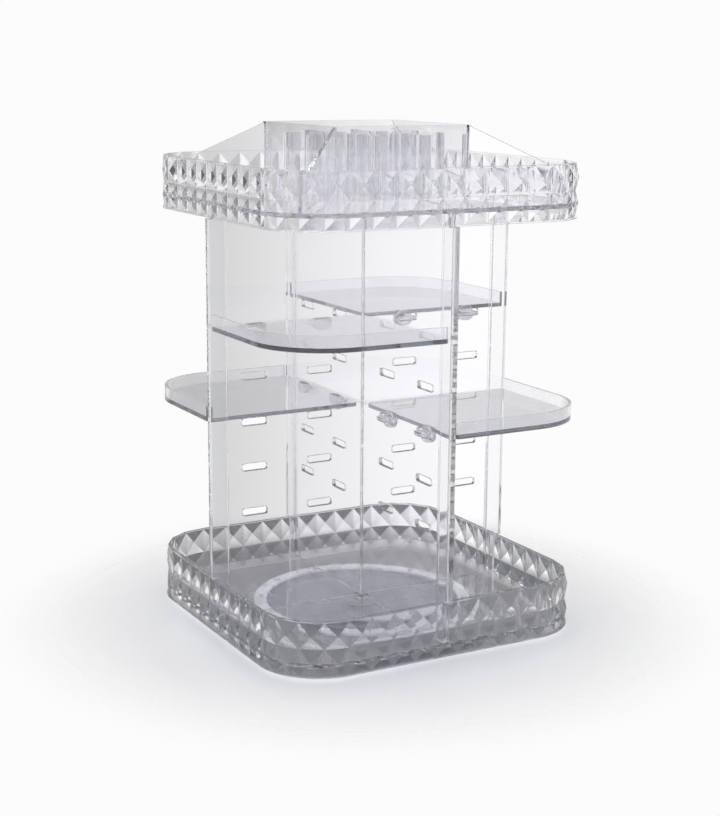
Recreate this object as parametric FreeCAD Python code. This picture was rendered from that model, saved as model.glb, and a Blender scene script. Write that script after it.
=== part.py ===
import FreeCAD, Part
import math
import os

from FreeCAD import Vector

# Rotating makeup organizer moulded in clear plastic. A rounded square base tray with a
# diamond-faceted wall turns on a ball race above a round foot plate. Four upright panels
# stand in a cross on the tray and carry four hook-on corner shelves and a lift-off top tray
# with a brush box in its middle.
# Millimetres, +Z up, origin on the table under the middle of the foot plate.

# Driving dimensions of the whole organizer
overall_width = 220.0
overall_height = 320.0
cut_overrun = 2.0

# Rubber feet under the foot plate
foot_count = 6
foot_radius = 6.5
foot_height = 1.5

# Foot plate
plate_thickness = 2.2
plate_margin = 5.5

# Ball race and its cage
race_radius = 68.2
race_width = 8.6
race_floor = 2.1
race_headroom = 0.2
ball_count = 12
ball_radius = 2.0
ball_clearance = 0.3
ball_sides = 8
ball_rings = 4
cage_width = 8.0
cage_thickness = 1.4
cage_clearance = 0.3
pocket_clearance = 0.15

# Centre pivot
hub_radius = 6.0
hub_clearance = 0.08
pivot_web = 2.0
pivot_recess_radius = 11.0
pivot_recess_depth = 2.5
pivot_dome_wall = 3.0
washer_radius = 9.0
washer_thickness = 1.0
washer_clearance = 0.1
screw_shank_radius = 1.5
screw_shank_length = 4.0
screw_head_radius = 3.2
screw_head_height = 1.8
screw_slot_width = 0.8
screw_slot_depth = 0.7
screw_clearance = 0.05

# Faceted walls of both trays
floor_thickness = 2.5
wall_thickness = 2.4
facet_depth = 2.3
facet_rows = 2
side_facets = 9
corner_facets = 4
lip_overhang = 0.5
lip_height = 0.9
rim_height = 0.9

# Base tray
ground_gap = 2.5
base_wall_height = 34.6
base_corner_radius = 42.0

# Upright panels
panel_web = 2.6
rail_width = 12.0
rail_thickness = 5.0
rail_round = 1.2
rail_shoulder = 4.1
mitre_gap = 0.1
seat_depth = 0.8
seat_clearance = 0.15
wall_clearance = 0.4

# Slots in the panels
slot_width = 17.0
slot_height = 4.5
slot_rows = 5
slot_pitch = 29.2
slot_lowest = 67.4
slot_margin = 10.0
slot_spacing = 46.2

# Corner shelves
shelf_inset = 0.4
shelf_corner_radius = 44.0
shelf_end_round = 3.0
shelf_thickness = 2.5
shelf_rim_height = 7.2
shelf_rim_thickness = 2.3
shelf_clearance = 0.3
shelf_rise = 1.9
shelf_row_step = 2
ear_width = 12.5
ear_height = 10.0
ear_thickness = 2.4
ear_clearance = 0.3
tongue_width = 12.0
tongue_thickness = 3.0
tongue_lift = 0.2
tongue_reach = 3.4
tongue_nose = 1.0

# Top tray
top_inset = 1.8
top_corner_radius = 40.0
top_skirt = 7.5
top_wall_height = 34.0
box_width = 96.0
box_height = 45.5
box_wall = 2.5
box_cells = 3
divider_thickness = 1.8
divider_drop = 6.0
gusset_thickness = 2.2
gusset_run = 50.0

# Heights that follow from the sizes above
plate_low = foot_height
plate_high = plate_low + plate_thickness
groove_half = ball_radius + ball_clearance
ball_height = plate_low + race_floor + groove_half
cage_low = ball_height - cage_thickness / 2
cage_high = ball_height + cage_thickness / 2
base_floor_low = ball_height + ball_radius + race_headroom
base_floor_high = base_floor_low + floor_thickness
base_low = ground_gap
base_high = base_low + base_wall_height
pivot_web_low = plate_low + pivot_recess_depth
washer_high = pivot_web_low - washer_clearance
washer_low = washer_high - washer_thickness
top_floor_high = overall_height - box_height
top_floor_low = top_floor_high - floor_thickness
top_low = top_floor_low - top_skirt
top_high = top_low + top_wall_height

# Reaches from the axis that follow from the sizes above
plate_radius = race_radius + race_width / 2 + plate_margin
wall_depth = lip_overhang + facet_depth + wall_thickness
base_half = overall_width / 2
base_inside = base_half - wall_depth
top_half = base_half - top_inset
top_inside = top_half - wall_depth
panel_reach = base_inside + rail_shoulder
rail_inside = panel_reach - rail_width
slot_outer = rail_inside - slot_margin - slot_width / 2
slot_radii = (slot_outer - slot_spacing, slot_outer)
slot_heights = [base_floor_high + slot_lowest + row * slot_pitch for row in range(slot_rows)]

axis_z = Vector(0, 0, 1)
origin = Vector(0, 0, 0)


def turned(shape, degrees):
    """Return a copy of a shape turned about the organizer's axis."""
    copy = shape.copy()
    copy.rotate(origin, axis_z, degrees)
    return copy


def block(low, high):
    """Return a box between two corners."""
    size = high - low
    return Part.makeBox(size.x, size.y, size.z, low)


def disc(radius, low, high):
    """Return an upright cylinder on the axis between two heights."""
    return Part.makeCylinder(radius, high - low, Vector(0, 0, low))


def ring(inner, outer, low, high):
    """Return an upright tube on the axis between two heights."""
    return disc(outer, low, high).cut(disc(inner, low - cut_overrun, high + cut_overrun))


def prism(edges, rise):
    """Return the solid that a closed plane outline sweeps along a vector."""
    return Part.Face(Part.Wire(Part.__sortEdges__(edges))).extrude(rise)


def polygon_edges(points):
    """Return the edges of a closed polygon."""
    ends = points[1:] + points[:1]
    return [Part.makeLine(start, end) for start, end in zip(points, ends)]


def rounded_edges(corners):
    """Return a closed outline of right-angled corners, each given as point and radius."""
    count = len(corners)
    stops = []
    for index, (point, radius) in enumerate(corners):
        before = (corners[index - 1][0] - point).normalize()
        after = (corners[(index + 1) % count][0] - point).normalize()
        middle = (before + after).normalize() * (radius * (math.sqrt(2) - 1))
        stops.append((point + before * radius, point + middle, point + after * radius))
    edges = []
    for index, (start, middle, end) in enumerate(stops):
        if corners[index][1] > 0:
            edges.append(Part.Arc(start, middle, end).toShape())
        edges.append(Part.makeLine(end, stops[(index + 1) % count][0]))
    return edges


def rounded_square(half, radius, low, high):
    """Return an upright prism with a rounded square plan between two heights."""
    signs = ((-1, -1), (1, -1), (1, 1), (-1, 1))
    corners = [(Vector(x * half, y * half, low), radius) for x, y in signs]
    return prism(rounded_edges(corners), Vector(0, 0, high - low))


def stadium(width, height, centre, rise):
    """Return a bar of round-ended section in an X-Z plane, swept along a vector."""
    radius = height / 2
    run = Vector(width / 2 - radius, 0, 0)
    up = Vector(0, 0, radius)
    nose = Vector(width / 2, 0, 0)
    edges = [
        Part.makeLine(centre - run - up, centre + run - up),
        Part.Arc(centre + run - up, centre + nose, centre + run + up).toShape(),
        Part.makeLine(centre + run + up, centre - run + up),
        Part.Arc(centre - run + up, centre - nose, centre - run - up).toShape(),
    ]
    return prism(edges, rise)


def closed_solid(polygons):
    """Return the solid inside a closed set of flat polygons."""
    faces = [Part.Face(Part.makePolygon(points + points[:1])) for points in polygons]
    shell = Part.Shell(faces)
    shell.sewShape()
    solid = Part.Solid(shell)
    if solid.Volume < 0:
        solid.reverse()
    return solid


def facet_ring(half, corner_radius):
    """Return the valley points and the apex points of one row of facets, in plan."""
    straight = half - corner_radius
    valley = half - lip_overhang - facet_depth
    valley_radius = valley - straight
    pitch = 2 * straight / side_facets
    step = math.pi / 2 / corner_facets
    apex_radius = valley_radius * math.cos(step / 2) + facet_depth
    centre = Vector(straight, -straight, 0)
    valleys = []
    apexes = []
    for column in range(side_facets):
        along = -straight + column * pitch
        valleys.append(Vector(along, -valley, 0))
        apexes.append(Vector(along + pitch / 2, -valley - facet_depth, 0))
    for column in range(corner_facets):
        angle = column * step - math.pi / 2
        middle = angle + step / 2
        valleys.append(centre + Vector(math.cos(angle), math.sin(angle), 0) * valley_radius)
        apexes.append(centre + Vector(math.cos(middle), math.sin(middle), 0) * apex_radius)
    quarters = [FreeCAD.Rotation(axis_z, 90 * quarter) for quarter in range(4)]
    all_valleys = [quarter.multVec(point) for quarter in quarters for point in valleys]
    all_apexes = [quarter.multVec(point) for quarter in quarters for point in apexes]
    return all_valleys, all_apexes


def facet_block(half, corner_radius, low, high):
    """Return a solid block whose sides are rows of shallow pyramids, above a plain lip."""
    valleys, apexes = facet_ring(half, corner_radius)
    row_low = low + lip_height
    row_rise = (high - rim_height - row_low) / facet_rows
    row_edges = [row_low + row * row_rise for row in range(facet_rows + 1)]
    levels = [low] + row_edges + [high]
    polygons = [[point + axis_z * height for point in valleys] for height in (low, high)]
    for start, end, apex_plan in zip(valleys, valleys[1:] + valleys[:1], apexes):
        for level, (bottom, top) in enumerate(zip(levels, levels[1:])):
            corners = [start + axis_z * bottom, end + axis_z * bottom,
                       end + axis_z * top, start + axis_z * top]
            if level in (0, len(levels) - 2):
                polygons.append(corners)
                continue
            apex = apex_plan + axis_z * ((bottom + top) / 2)
            for first, second in zip(corners, corners[1:] + corners[:1]):
                polygons.append([first, second, apex])
    return closed_solid(polygons).fuse(rounded_square(half, corner_radius, low, row_low))


def tray_shell(half, corner_radius, low, floor_low, floor_high, high):
    """Return a faceted tray: wall and floor, open above and below the floor."""
    inside = half - wall_depth
    inside_radius = corner_radius - wall_depth
    shell = facet_block(half, corner_radius, low, high)
    shell = shell.cut(rounded_square(inside, inside_radius, floor_high, high + cut_overrun))
    return shell.cut(rounded_square(inside, inside_radius, low - cut_overrun, floor_low))


def cross_seats(low, high, reach):
    """Return the two crossed bars that cut the panel seats into a tray floor."""
    half_width = panel_web / 2 + seat_clearance
    bar = block(Vector(-reach, -half_width, low), Vector(reach, half_width, high))
    return bar.fuse(turned(bar, 90))


def ball_groove():
    """Return the ring of square section in which the balls run."""
    return ring(race_radius - groove_half, race_radius + groove_half,
                ball_height - groove_half, ball_height + groove_half)


def make_rubber_foot():
    """Return one stick-on foot under the ball race."""
    return Part.makeCylinder(foot_radius, foot_height, Vector(race_radius, 0, 0))


def make_foot_plate():
    """Return the round plate with its ball race and raised pivot dome."""
    race_inner = race_radius - race_width / 2
    race_outer = race_radius + race_width / 2
    dome_high = pivot_web_low + pivot_web
    plate = disc(plate_radius, plate_low, plate_high)
    plate = plate.fuse(ring(race_inner, race_outer, plate_low, cage_low - cage_clearance))
    plate = plate.fuse(disc(pivot_recess_radius + pivot_dome_wall, plate_low, dome_high))
    plate = plate.cut(ball_groove())
    plate = plate.cut(disc(pivot_recess_radius, plate_low - cut_overrun, pivot_web_low))
    plate = plate.cut(disc(hub_radius + hub_clearance, plate_low, dome_high + cut_overrun))
    return plate.removeSplitter()


def make_ball_cage():
    """Return the flat ring that spaces the balls in square pockets."""
    cage = ring(race_radius - cage_width / 2, race_radius + cage_width / 2, cage_low, cage_high)
    half = ball_radius + pocket_clearance
    pocket = block(Vector(race_radius - half, -half, cage_low - cut_overrun),
                   Vector(race_radius + half, half, cage_high + cut_overrun))
    return cage.cut([turned(pocket, 360 * index / ball_count) for index in range(ball_count)])


def make_ball():
    """Return one ball with few flat faces, its corners on level rings."""
    rings = []
    for ring_index in range(ball_rings):
        tilt = math.pi * (2 * ring_index + 1) / (2 * ball_rings)
        rim = Vector(math.sin(tilt), 0, math.cos(tilt)) * ball_radius
        turns = [FreeCAD.Rotation(axis_z, 360 * side / ball_sides) for side in range(ball_sides)]
        rings.append([turn.multVec(rim) for turn in turns])
    polygons = [rings[0], rings[-1]]
    for upper, lower in zip(rings, rings[1:]):
        for side in range(ball_sides):
            after = (side + 1) % ball_sides
            polygons.append([upper[side], upper[after], lower[after], lower[side]])
    return closed_solid(polygons)


def make_bearing_balls():
    """Return the steel balls, one in each pocket of the cage."""
    ball = make_ball()
    ball.translate(Vector(race_radius, 0, ball_height))
    return Part.makeCompound([turned(ball, 360 * index / ball_count) for index in range(ball_count)])


def make_pivot_washer():
    """Return the washer that holds the foot plate up against the hub."""
    return ring(screw_shank_radius + screw_clearance, washer_radius, washer_low, washer_high)


def make_pivot_screw():
    """Return the screw that fastens the washer to the hub, head down."""
    head_low = washer_low - screw_head_height
    screw = disc(screw_head_radius, head_low, washer_low)
    screw = screw.fuse(disc(screw_shank_radius, washer_low, washer_high + screw_shank_length))
    driver_slot = block(Vector(-screw_head_radius, -screw_slot_width / 2, head_low - cut_overrun),
                        Vector(screw_head_radius, screw_slot_width / 2, head_low + screw_slot_depth))
    return screw.cut(driver_slot)


def make_base_tray():
    """Return the base tray, whose flat underside runs on the balls, with its pivot hub and seats."""
    tray = tray_shell(base_half, base_corner_radius, base_low,
                      base_floor_low, base_floor_high, base_high)
    tray = tray.fuse(disc(hub_radius, washer_high, base_floor_low))
    pilot_high = washer_high + screw_shank_length + screw_clearance
    tray = tray.cut(disc(screw_shank_radius + screw_clearance, washer_high - cut_overrun, pilot_high))
    seat_low = base_floor_high - seat_depth
    tray = tray.cut(cross_seats(seat_low, base_floor_high + cut_overrun, base_inside))
    return tray.removeSplitter()


def make_panel():
    """Return the panel along +X: a slotted web with a thick outer rail."""
    half_web = panel_web / 2
    half_rail = rail_thickness / 2
    web_low = base_floor_high - seat_depth + seat_clearance
    web_high = top_floor_low + seat_depth - seat_clearance
    rail_low = base_floor_high + seat_clearance
    rail_high = top_floor_low - seat_clearance
    web_end = rail_inside + rail_round
    plan = [Vector(mitre_gap, 0, web_low), Vector(mitre_gap + half_web, -half_web, web_low),
            Vector(web_end, -half_web, web_low), Vector(web_end, half_web, web_low),
            Vector(mitre_gap + half_web, half_web, web_low)]
    web = prism(polygon_edges(plan), Vector(0, 0, web_high - web_low))
    rail_plan = [(Vector(rail_inside, -half_rail, rail_low), 0),
                 (Vector(panel_reach, -half_rail, rail_low), rail_round),
                 (Vector(panel_reach, half_rail, rail_low), rail_round),
                 (Vector(rail_inside, half_rail, rail_low), 0)]
    rail = prism(rounded_edges(rail_plan), Vector(0, 0, rail_high - rail_low))
    base_notch = block(Vector(base_inside - wall_clearance, -half_rail, rail_low - cut_overrun),
                       Vector(panel_reach + cut_overrun, half_rail, base_high + seat_clearance))
    top_notch = block(Vector(top_inside - wall_clearance, -half_rail, top_low - seat_clearance),
                      Vector(panel_reach + cut_overrun, half_rail, rail_high + cut_overrun))
    panel = web.fuse(rail.cut([base_notch, top_notch]))
    slot_reach = Vector(slot_width / 2, half_rail, slot_height / 2)
    slot_centres = [Vector(radius, 0, height) for radius in slot_radii for height in slot_heights]
    slots = [block(centre - slot_reach, centre + slot_reach) for centre in slot_centres]
    return panel.cut(slots).removeSplitter()


def make_shelf(slot_row):
    """Return the shelf of the +X +Y corner, hooked on the +X panel in a row of slots."""
    slot = slot_heights[slot_row]
    low = slot + shelf_rise
    floor = low + shelf_thickness
    high = floor + shelf_rim_height
    edge = rail_thickness / 2 + shelf_clearance
    reach = panel_reach - shelf_inset
    tray_plan = [(Vector(edge, edge, low), shelf_end_round),
                 (Vector(reach, edge, low), shelf_end_round),
                 (Vector(reach, reach, low), shelf_corner_radius),
                 (Vector(edge, reach, low), shelf_end_round)]
    shelf = prism(rounded_edges(tray_plan), Vector(0, 0, high - low))
    inner_reach = reach - shelf_rim_thickness
    inner_radius = shelf_corner_radius - shelf_rim_thickness
    outside = -cut_overrun
    hollow_plan = [(Vector(outside, outside, floor), 0),
                   (Vector(inner_reach, outside, floor), 0),
                   (Vector(inner_reach, inner_reach, floor), inner_radius),
                   (Vector(outside, inner_reach, floor), 0)]
    shelf = shelf.cut(prism(rounded_edges(hollow_plan), Vector(0, 0, high - low)))
    ear_face = panel_web / 2 + ear_clearance
    ear_back = max(ear_face + ear_thickness, edge + shelf_thickness)
    tongue_low = slot - slot_height / 2 + tongue_lift
    tongue_high = tongue_low + tongue_thickness
    tongue_tip = -panel_web / 2 - tongue_reach
    for radius in slot_radii:
        ear = stadium(ear_width, ear_height, Vector(radius, ear_face, floor - ear_height / 2),
                      Vector(0, ear_back - ear_face, 0))
        side = radius - tongue_width / 2
        outline = [Vector(side, ear_back, tongue_low), Vector(side, tongue_tip + tongue_nose, tongue_low),
                   Vector(side, tongue_tip, tongue_low + tongue_nose), Vector(side, tongue_tip, tongue_high),
                   Vector(side, ear_back, tongue_high)]
        tongue = prism(polygon_edges(outline), Vector(tongue_width, 0, 0))
        shelf = shelf.fuse([ear, tongue])
    return shelf.removeSplitter()


def make_gusset():
    """Return one divider from a corner of the brush box to a corner of the tray."""
    start = box_width / 2 * math.sqrt(2) - box_wall
    centre_reach = (top_half - top_corner_radius) * math.sqrt(2)
    end = centre_reach + top_corner_radius - wall_depth + wall_thickness / 2
    half = gusset_thickness / 2
    outline = [Vector(start, -half, top_floor_high), Vector(end, -half, top_floor_high),
               Vector(end, -half, top_high - rim_height),
               Vector(start + gusset_run, -half, top_high - rim_height),
               Vector(start, -half, overall_height)]
    return turned(prism(polygon_edges(outline), Vector(0, gusset_thickness, 0)), 45)


def make_top_tray():
    """Return the top tray with its brush box, inner dividers and corner gussets."""
    tray = tray_shell(top_half, top_corner_radius, top_low, top_floor_low, top_floor_high, top_high)
    half = box_width / 2
    inside = half - box_wall
    box = block(Vector(-half, -half, top_floor_low), Vector(half, half, overall_height))
    gusset = make_gusset()
    box = box.fuse([turned(gusset, 90 * quarter) for quarter in range(4)])
    box = box.cut(block(Vector(-inside, -inside, top_floor_high),
                        Vector(inside, inside, overall_height + cut_overrun)))
    cell = (2 * inside - (box_cells - 1) * divider_thickness) / box_cells
    dividers = []
    for index in range(1, box_cells):
        left = -inside + index * cell + (index - 1) * divider_thickness
        divider = block(Vector(left, -half + box_wall / 2, top_floor_low),
                        Vector(left + divider_thickness, half - box_wall / 2,
                               overall_height - divider_drop))
        dividers += [divider, turned(divider, 90)]
    tray = tray.fuse([box] + dividers)
    seat_high = top_floor_low + seat_depth
    tray = tray.cut(cross_seats(top_floor_low - cut_overrun, seat_high, top_inside))
    return tray.removeSplitter()


def export(name, shape):
    """Check a piece and write it under its node name."""
    assert shape.isValid(), name
    shape.exportStep("parts/" + name + ".step")
    print(name, len(shape.Solids), round(shape.Volume))


os.makedirs("parts", exist_ok=True)

export("foot_plate", make_foot_plate())
rubber_foot = make_rubber_foot()
for foot_index in range(foot_count):
    export("rubber_foot_" + str(foot_index + 1), turned(rubber_foot, 360 * foot_index / foot_count))
export("ball_cage", make_ball_cage())
export("bearing_balls", make_bearing_balls())
export("pivot_washer", make_pivot_washer())
export("pivot_screw", make_pivot_screw())
export("base_tray", make_base_tray())

panel_shape = make_panel()
for panel_index, panel_side in enumerate(("right", "back", "left", "front")):
    export("panel_" + panel_side, turned(panel_shape, 90 * panel_index))

upper_shelf = make_shelf(slot_rows - 1)
lower_shelf = make_shelf(slot_rows - 1 - shelf_row_step)
export("shelf_back_right", upper_shelf)
export("shelf_back_left", turned(lower_shelf, 90))
export("shelf_front_left", turned(upper_shelf, 180))
export("shelf_front_right", turned(lower_shelf, 270))

export("top_tray", make_top_tray())
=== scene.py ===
# %% [markdown]
# # A clear rotating makeup organizer
# The object is a set of clear mouldings: a base tray with a diamond-cut wall that turns on a
# ball race, four slotted panels in a cross, four hook-on corner shelves, and a top tray with a
# brush box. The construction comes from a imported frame, in metres, and this lesson gives every
# piece its final shape and finish. We start by loading the frame and keeping its outer box,
# because the finished pieces have to stay inside it.

# %% Load the frame
import bmesh
import bpy
import math
from mathutils import Matrix, Vector


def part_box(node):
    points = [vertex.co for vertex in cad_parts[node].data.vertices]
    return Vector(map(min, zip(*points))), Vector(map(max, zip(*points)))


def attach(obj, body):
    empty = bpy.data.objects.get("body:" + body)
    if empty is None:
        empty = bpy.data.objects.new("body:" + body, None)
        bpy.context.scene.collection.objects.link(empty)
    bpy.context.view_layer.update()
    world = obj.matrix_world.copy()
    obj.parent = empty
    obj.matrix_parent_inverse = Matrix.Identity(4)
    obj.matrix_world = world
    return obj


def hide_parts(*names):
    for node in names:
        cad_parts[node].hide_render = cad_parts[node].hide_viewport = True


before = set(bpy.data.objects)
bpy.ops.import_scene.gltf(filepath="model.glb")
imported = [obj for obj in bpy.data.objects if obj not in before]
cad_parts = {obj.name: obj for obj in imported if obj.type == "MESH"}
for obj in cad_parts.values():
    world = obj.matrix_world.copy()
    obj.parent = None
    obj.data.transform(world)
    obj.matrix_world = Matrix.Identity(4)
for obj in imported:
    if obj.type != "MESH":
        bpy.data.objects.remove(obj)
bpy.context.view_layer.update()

scene = bpy.context.scene
MM = 0.001

# %% [markdown]
# ## The camera
# The viewpoint was worked out from the slots, the panel ends and the tray edges: the camera
# stands to the left of the front, a little above the top tray, about a metre away. Its lens is
# given for the long side of the picture. Depth of field stays off, so that every view is sharp.

# %% Camera
camera_place = Vector((-0.49559, -0.88614, 0.35635))
camera_aim = Vector((-0.00175, 0.00097, 0.13701))
camera_roll = math.radians(0.41)
camera_lens = 70.36
camera_near = 10.0 * MM

camera = bpy.data.objects.new("camera", bpy.data.cameras.new("camera"))
scene.collection.objects.link(camera)
camera.location = camera_place
turn = (camera_aim - camera_place).to_track_quat("-Z", "Y").to_matrix()
camera.rotation_euler = (turn @ Matrix.Rotation(camera_roll, 3, "Z")).to_euler()
camera.data.lens = camera_lens
camera.data.clip_start = camera_near
scene.camera = camera
print("camera distance:", round((camera_aim - camera_place).length, 3))

# %% [markdown]
# ## Writing node trees
# Finishes and repeating shapes are both node trees here, so one helper serves them all. It adds a
# node, sets its options, and then sets each input or links it, depending on what it is given. The
# trees below then read as short lists from the first node to the last.

# %% Node writer
def node_writer(tree):
    """Return a function that adds a node and sets or links its inputs, by order or by name."""

    def fill(socket, value):
        if isinstance(value, bpy.types.NodeSocket):
            tree.links.new(value, socket)
        else:
            socket.default_value = value

    def add(kind, options=None, *ordered, **named):
        node = tree.nodes.new(kind)
        for key, value in (options or {}).items():
            setattr(node, key, value)
        for index, value in enumerate(ordered):
            fill(node.inputs[index], value)
        for key, value in named.items():
            fill(node.inputs[key.replace("_", " ")], value)
        return node

    return add


def new_finish(name):
    """Return an empty material and its node writer."""
    material = bpy.data.materials.new(name)
    material.use_nodes = True
    material.node_tree.nodes.clear()
    return material, node_writer(material.node_tree)


# %% [markdown]
# ## Clear plastic
# The mouldings are clear polystyrene: bright, a little grey in thick places, and never perfectly
# even, because the melt leaves faint flow marks and handling leaves faint smears. A glass shader
# alone looks like crystal. This one has a slow bump for the flow, a smeared polish and a faint tint
# that drifts over the surface. An absorbing volume darkens light that runs a long way inside a
# plate, which is why the edges of a clear shelf look dark. Light has to reach the inside of the
# organizer, so shadow rays pass straight through the walls with a small loss.

# %% Clear plastic
plastic_ior = 1.57
smear_scale, smear_detail = 38.0, 4.0
smear_low, smear_high = 0.35, 0.75
flow_scale, flow_detail = 22.0, 1.5
flow_depth = 0.4 * MM
shadow_tint = (0.93, 0.935, 0.945, 1.0)
depth_tint = (0.0, 0.03, 0.12, 1.0)


def blend(add, share, low, high):
    """Return a colour that runs from one to another as a share goes from zero to one."""
    ramp = add("ShaderNodeValToRGB", None, share)
    for element, colour in zip(ramp.color_ramp.elements, (low, high)):
        element.color = (*colour, 1.0)
    return ramp.outputs["Color"]


def clear_plastic(name, low, high, clarity, haze, wave, density):
    """Return clear plastic whose tint drifts between two colours and that darkens with depth."""
    material, add = new_finish(name)
    place = add("ShaderNodeTexCoord").outputs["Object"]
    smear = add("ShaderNodeTexNoise", None, place, Scale=smear_scale, Detail=smear_detail)
    polish = add("ShaderNodeMapRange", None, smear.outputs["Fac"],
                 From_Min=smear_low, From_Max=smear_high, To_Min=0.0, To_Max=haze)
    flow = add("ShaderNodeTexNoise", None, place, Scale=flow_scale, Detail=flow_detail)
    bump = add("ShaderNodeBump", None, Strength=wave, Distance=flow_depth,
               Height=flow.outputs["Fac"])
    colour = blend(add, flow.outputs["Fac"], low, high)
    shader = add("ShaderNodeBsdfPrincipled", None, colour, IOR=plastic_ior,
                 Transmission_Weight=clarity, Roughness=polish.outputs["Result"],
                 Normal=bump.outputs["Normal"])
    see_through = add("ShaderNodeBsdfTransparent", None, shadow_tint)
    rays = add("ShaderNodeLightPath")
    mix = add("ShaderNodeMixShader", None, rays.outputs["Is Shadow Ray"],
              shader.outputs[0], see_through.outputs[0])
    depth = add("ShaderNodeVolumeAbsorption", None, depth_tint, Density=density)
    add("ShaderNodeOutputMaterial", None, mix.outputs[0], Volume=depth.outputs[0])
    return material


# %% [markdown]
# ## The clear finishes
# One moulding compound gives several looks. Panels and trays are polished and almost colourless.
# The shelves are mostly seen along their plates, so they absorb more to get their dark edges. The
# rails are a touch greyer, and the hooks, the foot plate and the ball cage are hazy.

# %% Clear finishes
panel_clear = clear_plastic("panel_clear", (0.975, 0.97, 0.99), (0.99, 0.985, 0.999),
                            clarity=0.995, haze=0.03, wave=0.06, density=1.0)
rail_clear = clear_plastic("rail_clear", (0.925, 0.93, 0.945), (0.95, 0.955, 0.97),
                           clarity=0.985, haze=0.05, wave=0.05, density=0.5)
shelf_clear = clear_plastic("shelf_clear", (0.92, 0.92, 0.945), (0.95, 0.95, 0.97),
                            clarity=0.98, haze=0.04, wave=0.05, density=13.0)
tray_clear = clear_plastic("tray_clear", (0.975, 0.975, 0.992), (0.988, 0.988, 0.999),
                           clarity=0.998, haze=0.02, wave=0.03, density=2.5)
hook_clear = clear_plastic("hook_clear", (0.88, 0.885, 0.9), (0.92, 0.925, 0.94),
                           clarity=0.7, haze=0.85, wave=0.05, density=6.0)
plate_clear = clear_plastic("plate_clear", (0.6, 0.63, 0.7), (0.68, 0.71, 0.78),
                            clarity=0.96, haze=0.4, wave=0.05, density=4.0)
cage_clear = clear_plastic("cage_clear", (0.86, 0.87, 0.89), (0.9, 0.91, 0.93),
                           clarity=0.6, haze=0.8, wave=0.05, density=4.0)
print("clear finishes:", [finish.name for finish in (panel_clear, rail_clear, shelf_clear, tray_clear,
                                                  hook_clear, plate_clear, cage_clear)])

# %% [markdown]
# ## Steel and rubber
# The balls are bright steel and the screw and washer are zinc-plated, so both are metal with a
# fine uneven polish. The feet are opaque rubber: a faint mottle in their colour and a matching
# bump keep them from looking like flat paint.

# %% Opaque finishes
grain_scale, grain_detail = 900.0, 3.0
polish_low, polish_high = 0.6, 1.6
mottle_detail = 5.0
mottle_bump = 0.2
mottle_depth = 0.1 * MM


def plated_steel(name, colour, roughness):
    """Return steel with a fine uneven polish."""
    material, add = new_finish(name)
    place = add("ShaderNodeTexCoord").outputs["Object"]
    grain = add("ShaderNodeTexNoise", None, place, Scale=grain_scale, Detail=grain_detail)
    polish = add("ShaderNodeMapRange", None, grain.outputs["Fac"],
                 To_Min=roughness * polish_low, To_Max=roughness * polish_high)
    shader = add("ShaderNodeBsdfPrincipled", None, colour, Metallic=1.0,
                 Roughness=polish.outputs["Result"])
    add("ShaderNodeOutputMaterial", None, shader.outputs[0])
    return material


def mottled(name, low, high, roughness, scale):
    """Return an opaque moulded finish with a faint mottle."""
    material, add = new_finish(name)
    place = add("ShaderNodeTexCoord").outputs["Object"]
    mottle = add("ShaderNodeTexNoise", None, place, Scale=scale, Detail=mottle_detail)
    colour = blend(add, mottle.outputs["Fac"], low, high)
    bump = add("ShaderNodeBump", None, Strength=mottle_bump, Distance=mottle_depth,
               Height=mottle.outputs["Fac"])
    shader = add("ShaderNodeBsdfPrincipled", None, colour, Roughness=roughness,
                 Normal=bump.outputs["Normal"])
    add("ShaderNodeOutputMaterial", None, shader.outputs[0])
    return material


ball_steel = plated_steel("ball_steel", (0.72, 0.73, 0.74, 1.0), roughness=0.12)
screw_steel = plated_steel("screw_steel", (0.6, 0.6, 0.61, 1.0), roughness=0.3)
soft_rubber = mottled("soft_rubber", (0.3, 0.3, 0.31), (0.42, 0.42, 0.43), roughness=0.7, scale=500.0)
print("opaque finishes:", ball_steel.name, screw_steel.name, soft_rubber.name)

# %% [markdown]
# ## Plan outlines
# Most mouldings are straight walls over a plan: round-cornered squares for the trays, a cross for
# the seats, circles for the hub and the feet. A curve object could draw them, but points from a
# formula keep the corner rounds exact and evenly divided, so these functions return plain points.

# %% Plan outlines
corner_signs = ((-1, -1), (1, -1), (1, 1), (-1, 1))
arc_pitch = 1.8 * MM
turn_steps = 128


def rounded_outline(corners):
    """Return the plan points of a right-angled outline, given its corners as x, y and radius."""
    points = []
    for index, (x, y, radius) in enumerate(corners):
        corner = Vector((x, y))
        before = (Vector(corners[index - 1][:2]) - corner).normalized()
        after = (Vector(corners[(index + 1) % len(corners)][:2]) - corner).normalized()
        centre = corner + (before + after) * radius
        steps = math.ceil(math.pi / 2 * radius / arc_pitch)
        for step in range(steps + 1):
            angle = math.pi / 2 * step / max(steps, 1)
            points.append(centre - (after * math.cos(angle) + before * math.sin(angle)) * radius)
    return points


def rounded_square(half, radius):
    """Return the plan points of a square with round corners."""
    return rounded_outline([(x * half, y * half, radius) for x, y in corner_signs])


def rectangle(low, high):
    """Return the plan points of a rectangle between two corners."""
    return [Vector(point) for point in (low, (high[0], low[1]), high, (low[0], high[1]))]


def circle(radius, middle=(0.0, 0.0)):
    """Return the plan points of a circle."""
    angles = [2 * math.pi * step / turn_steps for step in range(turn_steps)]
    return [Vector(middle) + Vector((math.cos(angle), math.sin(angle))) * radius for angle in angles]


def cross(half, reach):
    """Return the plan points of a cross of two bars, given half their width and their reach."""
    arm = [Vector((half, -half)), Vector((reach, -half)), Vector((reach, half))]
    return [Matrix.Rotation(math.pi / 2 * turn, 2) @ point for turn in range(4) for point in arm]


print("points round a circle:", turn_steps, "and along an arc every", arc_pitch, "m")

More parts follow.
